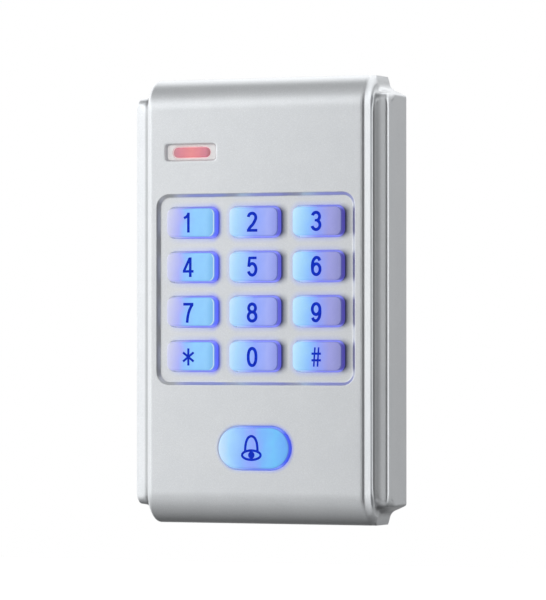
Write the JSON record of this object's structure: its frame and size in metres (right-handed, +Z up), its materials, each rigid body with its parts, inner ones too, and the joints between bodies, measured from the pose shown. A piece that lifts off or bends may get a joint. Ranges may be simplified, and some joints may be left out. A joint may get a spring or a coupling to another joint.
{
  "type": "keypad access reader",
  "caption": "Wall-mounted metal access reader with a recessed, backlit numeric keypad, a bell button and a red indicator window.",
  "frame": {"origin": "centre of the back mounting face, in the plane that lies against the wall", "axes": "+Z up, +Y into the wall, -Y the way the keys face, +X to the right of a person facing the keypad"},
  "size_m": [0.073, 0.0195, 0.12],
  "materials": {
    "silver_paint": "satin silver-grey metallic paint with a fine sparkle, on a zinc die casting",
    "milky_key": "translucent milky polycarbonate, lit blue from inside, with a printed legend",
    "clear_lens": "pale translucent acrylic window",
    "red_diffuser": "milky red-lit diffuser",
    "silicone": "translucent moulded silicone",
    "carbon": "conductive carbon rubber",
    "board": "green solder mask on glass fibre",
    "led_blue": "surface-mount blue lamp",
    "led_red": "surface-mount red lamp",
    "copper": "enamelled copper winding",
    "chip_black": "black moulded epoxy or plastic",
    "steel": "zinc-plated or stainless steel",
    "aluminium": "bare aluminium can",
    "cover_plastic": "black moulded plastic with a fine grain",
    "rubber": "black rubber",
    "connector_white": "off-white moulded plastic"
  },
  "bodies": {
    "reader": {"antenna_coil": "copper", "backlight_led_1": "led_blue", "backlight_led_2": "led_blue", "backlight_led_3": "led_blue", "backlight_led_4": "led_blue", "backlight_led_5": "led_blue", "backlight_led_6": "led_blue", "backlight_led_7": "led_blue", "backlight_led_8": "led_blue", "bell_mat": "silicone", "buzzer": "chip_black", "cable_grommet": "rubber", "cable_header": "connector_white", "capacitor": "aluminium", "card_reader_chip": "chip_black", "controller_chip": "chip_black", "cover_gasket": "rubber", "cover_screw_1": "steel", "cover_screw_2": "steel", "cover_screw_3": "steel", "cover_screw_4": "steel", "crystal": "steel", "front_case": "silver_paint", "indicator_bar": "red_diffuser", "indicator_led": "led_red", "indicator_lens": "clear_lens", "keypad_mat": "silicone", "locking_screw": "steel", "main_board": "board", "mounting_plate": "steel", "rear_cover": "cover_plastic", "regulator": "chip_black", "tamper_sensor": "connector_white"},
    "key_1": {"key_cap_1": "milky_key", "contact_pill_1": "carbon"},
    "key_2": {"key_cap_2": "milky_key", "contact_pill_2": "carbon"},
    "key_3": {"key_cap_3": "milky_key", "contact_pill_3": "carbon"},
    "key_4": {"key_cap_4": "milky_key", "contact_pill_4": "carbon"},
    "key_5": {"key_cap_5": "milky_key", "contact_pill_5": "carbon"},
    "key_6": {"key_cap_6": "milky_key", "contact_pill_6": "carbon"},
    "key_7": {"key_cap_7": "milky_key", "contact_pill_7": "carbon"},
    "key_8": {"key_cap_8": "milky_key", "contact_pill_8": "carbon"},
    "key_9": {"key_cap_9": "milky_key", "contact_pill_9": "carbon"},
    "key_star": {"key_cap_star": "milky_key", "contact_pill_star": "carbon"},
    "key_0": {"key_cap_0": "milky_key", "contact_pill_0": "carbon"},
    "key_hash": {"key_cap_hash": "milky_key", "contact_pill_hash": "carbon"},
    "bell_key": {"bell_button": "milky_key", "contact_pill_bell": "carbon"}
  },
  "joints": [
    {"name": "press_1", "type": "slide", "parent": "reader", "child": "key_1", "axis": [0, 1, 0], "range_m": [0, 0.001], "stiffness_N_per_m": 1500, "deforming": ["keypad_mat"]},
    {"name": "press_2", "type": "slide", "parent": "reader", "child": "key_2", "axis": [0, 1, 0], "range_m": [0, 0.001], "stiffness_N_per_m": 1500, "deforming": ["keypad_mat"]},
    {"name": "press_3", "type": "slide", "parent": "reader", "child": "key_3", "axis": [0, 1, 0], "range_m": [0, 0.001], "stiffness_N_per_m": 1500, "deforming": ["keypad_mat"]},
    {"name": "press_4", "type": "slide", "parent": "reader", "child": "key_4", "axis": [0, 1, 0], "range_m": [0, 0.001], "stiffness_N_per_m": 1500, "deforming": ["keypad_mat"]},
    {"name": "press_5", "type": "slide", "parent": "reader", "child": "key_5", "axis": [0, 1, 0], "range_m": [0, 0.001], "stiffness_N_per_m": 1500, "deforming": ["keypad_mat"]},
    {"name": "press_6", "type": "slide", "parent": "reader", "child": "key_6", "axis": [0, 1, 0], "range_m": [0, 0.001], "stiffness_N_per_m": 1500, "deforming": ["keypad_mat"]},
    {"name": "press_7", "type": "slide", "parent": "reader", "child": "key_7", "axis": [0, 1, 0], "range_m": [0, 0.001], "stiffness_N_per_m": 1500, "deforming": ["keypad_mat"]},
    {"name": "press_8", "type": "slide", "parent": "reader", "child": "key_8", "axis": [0, 1, 0], "range_m": [0, 0.001], "stiffness_N_per_m": 1500, "deforming": ["keypad_mat"]},
    {"name": "press_9", "type": "slide", "parent": "reader", "child": "key_9", "axis": [0, 1, 0], "range_m": [0, 0.001], "stiffness_N_per_m": 1500, "deforming": ["keypad_mat"]},
    {"name": "press_star", "type": "slide", "parent": "reader", "child": "key_star", "axis": [0, 1, 0], "range_m": [0, 0.001], "stiffness_N_per_m": 1500, "deforming": ["keypad_mat"]},
    {"name": "press_0", "type": "slide", "parent": "reader", "child": "key_0", "axis": [0, 1, 0], "range_m": [0, 0.001], "stiffness_N_per_m": 1500, "deforming": ["keypad_mat"]},
    {"name": "press_hash", "type": "slide", "parent": "reader", "child": "key_hash", "axis": [0, 1, 0], "range_m": [0, 0.001], "stiffness_N_per_m": 1500, "deforming": ["keypad_mat"]},
    {"name": "press_bell", "type": "slide", "parent": "reader", "child": "bell_key", "axis": [0, 1, 0], "range_m": [0, 0.001], "stiffness_N_per_m": 1500, "deforming": ["bell_mat"]}
  ]
}
